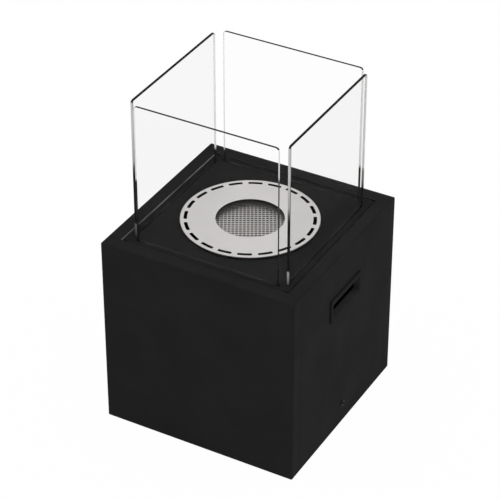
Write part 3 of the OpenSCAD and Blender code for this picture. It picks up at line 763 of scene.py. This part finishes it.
first_pane = glass_pane()
panes = {"front": first_pane}
for side, turn in (("right", 90), ("rear", 180), ("left", 270)):
    panes[side] = copy_of(first_pane, f"{side}_pane_glass", turn=turn)
END, TOP = PANE_HIGH.x, PANE_HIGH.z


def on_top(at, way, band):
    return at.z > TOP - band or (at.z > TOP - PANE_CORNER - 1 and way.z > 0.4)


for side, pane in panes.items():
    settle(pane, f"{side}_pane", "clear_glass", GLASS, f"{side}_glass")
    # Edge faces and bands get painted light and shade.
    if side in ("left", "right"):
        paint(pane, EDGE_BAND, lambda at, way: at.y < END_BAND - END)
        paint(pane, NEAR_EDGES[side], lambda at, way: at.y < SKIN - END)
        paint(pane, FAR_EDGE, lambda at, way: at.y > END - SKIN)
        if side == "right":
            paint(pane, FAINT_EDGE, lambda at, way: at.y > END - END_BAND)
        paint(pane, TOP_EDGE_DARK, lambda at, way: on_top(at, way, TOP_BAND))
    else:
        if side == "rear":
            paint(pane, BACK_EDGE, lambda at, way: at.x > END - END_BAND)
        else:
            paint(pane, RIGHT_EDGE, lambda at, way: at.x > END - SKIN)
        paint(pane, FAR_EDGE, lambda at, way: at.x < SKIN - END)
        paint(pane, TOP_EDGE_GREY, lambda at, way: on_top(at, way, SKIN))

# %% [markdown]
# ## Cover ring
# The ring is pressed from one sheet: a collar round the mouth, a flat face and a short skirt. Its folds are
# tight, the one at the mouth nearly sharp. Twenty slots with rounded corners are cut near its edge. One
# slot tool is made from a block that is drawn out along the ring in small turns, and copies of it are set
# round the ring.

# %% Slot tool
RING_LOW, RING_HIGH = corners("cover_ring")
GAUZE_LOW, GAUZE_HIGH = corners("gauze")
RING_SHEET, MOUTH_R, MOUTH_FOLD, SKIRT_FOLD, SKIRT_BAND = 1.5, 56, 0.35, 1.2, 1.3
SLOT_COUNT, SLOT_TURN, SLOT_INSET = 20, 6.5, 9.3
SLOT_L, SLOT_W, SLOT_CORNER, SLOT_STEPS = 23.4, 5.7, 1.8, 8
SLOT_R = RING_HIGH.x - SLOT_INSET


def slot_tool():
    reach = SLOT_L / 2 / SLOT_R
    step = 2 * reach / SLOT_STEPS
    half, length = SLOT_W / 2, SLOT_R * step
    piece = block("slot_tool", (SLOT_R - half, 0, PLATE_Z), (SLOT_R + half, length, RING_HIGH.z + 2))
    piece.rotation_euler.z = -reach
    hold(piece)
    bpy.ops.object.transform_apply(rotation=True)
    ahead = Vector((math.sin(reach), math.cos(reach), 0))
    choose(piece, "FACE", lambda at, way: way.dot(ahead) > ALONG)
    for _ in range(SLOT_STEPS - 1):
        bpy.ops.mesh.extrude_region_move()
        bpy.ops.transform.rotate(value=-step, orient_axis="Z", center_override=(0, 0, 0))
    let_go()
    last = reach - step / 4
    ends = round_fold(piece, SLOT_CORNER, lambda at, way: (
        abs(way.z) > ALONG and abs(math.atan2(at.y, at.x)) > last))
    print("corners of the slot tool:", ends, "half a slot in degrees:", round(math.degrees(reach), 2))
    return piece


first_tool = slot_tool()

# %% Cover ring
RING_SOFT = 0.12
half = RING_SHEET / 2
face_z, mouth, skirt = RING_HIGH.z - half, MOUTH_R + half, RING_HIGH.x - half
ring = turned("cover_ring_steel", [(mouth, RING_LOW.z), (mouth, face_z), (skirt, face_z), (skirt, PLATE_Z)])
wall(ring, RING_SHEET)
inner = round_fold(ring, MOUTH_FOLD, near(MOUTH_R, RING_HIGH.z), steps=3)
outer = round_fold(ring, SKIRT_FOLD, near(RING_HIGH.x, RING_HIGH.z), steps=5)
print("fold edges:", inner, outer)
tools = [copy_of(first_tool, "tool", turn=SLOT_TURN + i * 360 / SLOT_COUNT) for i in range(SLOT_COUNT)]
bpy.data.objects.remove(first_tool)
hold(tools[0])
for tool in tools:
    tool.select_set(True)
bpy.ops.object.join()
cut(ring, bpy.context.object)
soften(ring, RING_SOFT)
settle(ring, "burner", "stainless", SATIN_STEEL, "cover_ring")
# The skirt carries a painted reflection of the black plate.
paint(ring, SKIRT_PAINTED_REFLECTION, lambda at, way: at.xy.length > RING_HIGH.x - SKIRT_BAND and way.z < 0.98)
# The slot walls get painted shade.
paint(ring, SLOT_WALL_PAINTED_SHADE, lambda at, way: abs(at.xy.length - SLOT_R) < SLOT_W and abs(way.z) < 0.6)
# The mouth's wall gets painted shade, darkest at the rim.
paint(ring, MOUTH_WALL, lambda at, way: at.xy.length < MOUTH_R + 0.2 and way.z < 0.6)

# %% [markdown]
# ## Fuel cup and its collar
# The cup is drawn from thin steel, with a flange that carries the gauze. A collar, welded under the flange,
# hangs it from the underside of the cover ring.

# %% Cup and collar
THIN, ROUND, LIP_FOLD, BASE_FOLD = 1.0, 128, 1.2, 6
CUP_LAND, NECK_FIT, WELD_FIT = 6.5, 1.7, 1.5
CUP_R = GAUZE_HIGH.x - CUP_LAND
low, high = corners("fuel_cup")
flange_z, base_z = high.z - THIN / 2, low.z + THIN / 2
cup = turned("fuel_cup_steel", [
    (high.x, flange_z), (CUP_R, flange_z), (CUP_R, base_z), (0, base_z)], sides=ROUND)
round_fold(cup, LIP_FOLD, near(CUP_R, flange_z), steps=4)
round_fold(cup, BASE_FOLD, near(CUP_R, base_z))
wall(cup, THIN)
soften(cup)
# The cup's steel is darkened with painted shade.
settle(cup, "burner", "stainless", CUP_STEEL_PAINTED_SHADE, "fuel_cup")

low, high = corners("cup_collar")
hung, seated, neck = high.z - THIN / 2, low.z + THIN / 2, GAUZE_HIGH.x + NECK_FIT
collar = turned("cup_collar_steel", [
    (high.x, hung), (neck, hung), (neck, seated), (CUP_R + WELD_FIT, seated)], sides=ROUND)
for bend_z in (hung, seated):
    round_fold(collar, LIP_FOLD, near(neck, bend_z), steps=4)
wall(collar, THIN)
soften(collar)
settle(collar, "burner", "stainless", CUP_STEEL_PAINTED_SHADE, "cup_collar")

# %% [markdown]
# ## Gauze
# The gauze is modelled as a weave of flat wire. One wire is a cylinder pressed flat, cut into short lengths
# by bisect and waved up and down over its neighbours. Copies of it, half of them shifted by one mesh, make
# the weave, and each is trimmed to the round rim. The wires one way are `WIDER`, because the photograph's
# rows of openings read so.

# %% One waved wire
PITCH, WIRE_W, WIRE_FLAT, WIDER, WAVE = 6.2, 1.95, 0.4, 1.55, 0.19
GAUZE_TURN, GAUZE_LAND, RIM_FIT, WIRE_MESHES, WIRE_CUTS, WIRES_EACH_SIDE = 29, 5.5, 1.6, 24, 44, 9


def waved_wire():
    piece = rod("wire", 0.5, (0, 0, 0), WIRE_MESHES * PITCH, "X", sides=8)
    piece.scale = (1, WIRE_W, WIRE_FLAT)
    hold(piece)
    bpy.ops.object.transform_apply(scale=True)
    score(piece, 0, *[(k + 0.5) * PITCH / 4 for k in range(-WIRE_CUTS, WIRE_CUTS + 1)])
    for way_up in (1, -1):
        choose(piece, "VERT", lambda at, way: math.cos(math.pi * at.x / PITCH) * way_up > 0.5)
        bpy.ops.transform.translate(value=(0, 0, WAVE * way_up * MM))
        let_go()
    return piece


wire = waved_wire()
print("one wire:", len(wire.data.polygons), "faces")


# %% Weave
def trimmed(wire, offset, shift, lift, turn, widen):
    piece = bpy.data.objects.new("wire", wire.data.copy())
    bpy.context.scene.collection.objects.link(piece)
    piece.scale.y = widen
    piece.location = (shift * PITCH * MM, offset * PITCH * MM, 0)
    hold(piece)
    bpy.ops.object.transform_apply(location=True, scale=True)
    reach = math.sqrt((GAUZE_HIGH.x - GAUZE_LAND) ** 2 - (offset * PITCH) ** 2)
    bpy.ops.object.mode_set(mode="EDIT")
    for end in (-1, 1):
        bpy.ops.mesh.select_all(action="SELECT")
        bpy.ops.mesh.bisect(plane_co=(end * reach * MM, 0, 0), plane_no=(end, 0, 0),
                            use_fill=True, clear_outer=True)
    let_go()
    piece.location.z = lift * MM
    piece.rotation_euler.z = math.radians(turn)
    hold(piece)
    bpy.ops.object.transform_apply(location=True, rotation=True)
    return piece


rows = range(-WIRES_EACH_SIDE, WIRES_EACH_SIDE + 1)
middle_z = (GAUZE_LOW.z + GAUZE_HIGH.z) / 2
weave = [trimmed(wire, k, k % 2, middle_z, GAUZE_TURN, WIDER) for k in rows]
weave += [trimmed(wire, k, (k + 1) % 2, middle_z, GAUZE_TURN + 90, 1) for k in rows]
bpy.data.objects.remove(wire)
rim = turned("rim", [(MOUTH_R + RIM_FIT, middle_z), (GAUZE_HIGH.x, middle_z)], sides=ROUND)
wall(rim, GAUZE_HIGH.z - GAUZE_LOW.z)
hold(rim)
for piece in weave:
    piece.select_set(True)
bpy.ops.object.join()
net = bpy.context.object
net.name = net.data.name = "gauze_weave"
bpy.ops.object.shade_smooth_by_angle(angle=math.radians(50))
settle(net, "burner", "stainless", GAUZE_STEEL, "gauze")

# %% [markdown]
# ## Fibre packing
# The fuel is held by a wad of matted ceramic fibre. A turned lump gets its uneven, matted surface from two
# sizes of cloud texture, a coarse one for the wad's lumps and a fine one for its tufts. The lump starts a
# little inside its CAD node, because the texture swells it.

# %% Packing
SWELL_OUT, SWELL_DOWN, SWELL_UP = 0.5, 0.2, 1.1
LUMPS, TUFTS = (9, 1.0), (2.2, 0.8)
low, high = corners("fibre_packing")
edge, bottom, top = high.x - SWELL_OUT, low.z + SWELL_DOWN, high.z - SWELL_UP
packing = turned("fibre_wad", [
    (POINT, bottom), (edge - 7.5, bottom), (edge - 0.5, bottom + 6), (edge, bottom + 23),
    (edge - 0.5, top - 5), (edge - 5.5, top - 1.5), (edge / 2, top - 0.5), (0, top)], sides=64)
choose(packing, "VERT", lambda at, way: at.z < bottom + 0.1 and at.xy.length < 1)
bpy.ops.mesh.merge(type="CENTER")
let_go()
face_outwards(packing)
modify(packing, "SUBSURF", levels=3, render_levels=3)
for size, depth in (LUMPS, TUFTS):
    cloud = bpy.data.textures.new("fibre_clouds", "CLOUDS")
    cloud.noise_scale = size * MM
    modify(packing, "DISPLACE", texture=cloud, texture_coords="LOCAL", strength=depth * MM, mid_level=0.7)
hold(packing)
bpy.ops.object.shade_smooth_by_angle(angle=math.radians(60))
# The fibre's near-black colour is painted shade.
settle(packing, "burner", "ceramic_fibre", FIBRE_PAINTED_SHADE, "fibre_packing")

# %% [markdown]
# ## Burner well
# The well hangs in the top plate and catches spilt fuel. Its wall is rolled and has a lip, and a floor pan
# is welded round its foot.

# %% Well
WELL_FOLD, PAN_FOLD = 1, 8
low, high = corners("burner_well")
lip_z, WELL_R = high.z - THIN / 2, high.x - WELL_LIP - THIN / 2
well = turned("well_wall", [(high.x, lip_z), (WELL_R, lip_z), (WELL_R, low.z)])
round_fold(well, WELL_FOLD, near(WELL_R, lip_z), steps=4)
wall(well, THIN)
low, high = corners("well_pan")
pan_r, pan_z = high.x - THIN / 2, low.z + THIN / 2
pan = turned("well_floor_pan", [(pan_r, high.z), (pan_r, pan_z), (0, pan_z)])
round_fold(pan, PAN_FOLD, near(pan_r, pan_z))
wall(pan, THIN)
for piece, node in ((well, "burner_well"), (pan, "well_pan")):
    soften(piece)
    settle(piece, "cabinet", "inner_paint", INNER_COAT, node)

# %% [markdown]
# ## Pieces that keep their CAD mesh
# Feet, screws, nuts, straps, channels, pads and the base plate are plain shapes that the frame already
# holds exactly, so they only get their finish. The channels get the slots' painted light instead of black.

# %% Finishes for the rest
KEPT = {"foot_rubber": RUBBER, "zinc": ZINC, "silicone": SILICONE, "inner_paint": INNER_COAT}
slots = {s["node"]: s["material_slot"] for s in frame["record"]["subparts"]}
for name, node in NODES.items():
    if not node.hide_render:
        node.data.materials.clear()
        # Channels get the slots' painted light.
        node.data.materials.append(SLOT_PAINTED_LIGHT if name.endswith("channel") else KEPT[slots[name]])
print("kept CAD nodes:", sorted(n for n, o in NODES.items() if not o.hide_render))

# %% [markdown]
# ## Floor and light
# The studio is all white. To the camera, and in reflections and through glass, floor and air are white,
# the floor a trace less, so that it keeps the shadow. What lights the fireplace is softer: an even sky and
# two wide lamps, so colours look as written.

# %% White where it is seen
def white_where_seen(tree, lit, strength, output):
    """Mixes a surface's own light with plain white, which only the camera, mirrors and glass see."""
    path, mix = add(tree, "LightPath"), add(tree, "MixShader")
    most, seen, part = (add(tree, "Math", operation=kind) for kind in ("MAXIMUM", "MAXIMUM", "MULTIPLY"))
    glow = add(tree, "Emission", Strength=1.0)
    tree.links.new(path.outputs["Is Camera Ray"], most.inputs[0])
    tree.links.new(path.outputs["Is Glossy Ray"], most.inputs[1])
    tree.links.new(most.outputs[0], seen.inputs[0])
    tree.links.new(path.outputs["Is Transmission Ray"], seen.inputs[1])
    tree.links.new(seen.outputs[0], part.inputs[0])
    part.inputs[1].default_value = strength
    tree.links.new(part.outputs[0], mix.inputs[0])
    tree.links.new(lit, mix.inputs[1])
    tree.links.new(glow.outputs["Emission"], mix.inputs[2])
    tree.links.new(mix.outputs["Shader"], tree.nodes[output].inputs["Surface"])


# %% Floor
FLOOR_R, FLOOR_WHITE = 14, 0.98
bpy.ops.object.select_all(action="DESELECT")
bpy.ops.mesh.primitive_circle_add(vertices=96, radius=FLOOR_R, fill_type="NGON", location=(0, 0, 0))
floor = bpy.context.object
floor.name = "floor"
white, tree, shader = coat("white_floor", (0.85, 0.85, 0.85), Roughness=0.9, Specular_IOR_Level=0.1)
white_where_seen(tree, shader.outputs["BSDF"], FLOOR_WHITE, "Material Output")
floor.data.materials.append(white)
print("floor:", FLOOR_R, "m in radius")

# %% Sky and lamps
SKY_STRENGTH = 0.6
world = bpy.data.worlds.new("studio")
bpy.context.scene.world = world
world.use_nodes = True
sky = world.node_tree.nodes["Background"]
sky.inputs["Color"].default_value = (1, 1, 1, 1)
sky.inputs["Strength"].default_value = SKY_STRENGTH
white_where_seen(world.node_tree, sky.outputs["Background"], 1, "World Output")


def lamp(name, strength, azimuth, elevation, spread_angle):
    data = bpy.data.lights.new(name, "SUN")
    data.energy, data.angle = strength, math.radians(spread_angle)
    a, e = math.radians(azimuth), math.radians(elevation)
    way = Vector((math.sin(a) * math.cos(e), -math.cos(a) * math.cos(e), math.sin(e)))
    sun = bpy.data.objects.new(name, data)
    sun.rotation_mode = "QUATERNION"
    sun.rotation_quaternion = (-way).to_track_quat("-Z", "Y")
    bpy.context.scene.collection.objects.link(sun)


lamp("key_lamp", strength=0.9, azimuth=-50, elevation=55, spread_angle=60)
lamp("fill_lamp", strength=0.7, azimuth=110, elevation=35, spread_angle=80)
cycles = bpy.context.scene.cycles
cycles.max_bounces, cycles.glossy_bounces, cycles.transmission_bounces = 64, 64, 32
cycles.transparent_max_bounces = 32
bpy.context.scene.view_settings.view_transform = "Standard"
print("lamps:", *(light.name for light in bpy.data.lights))
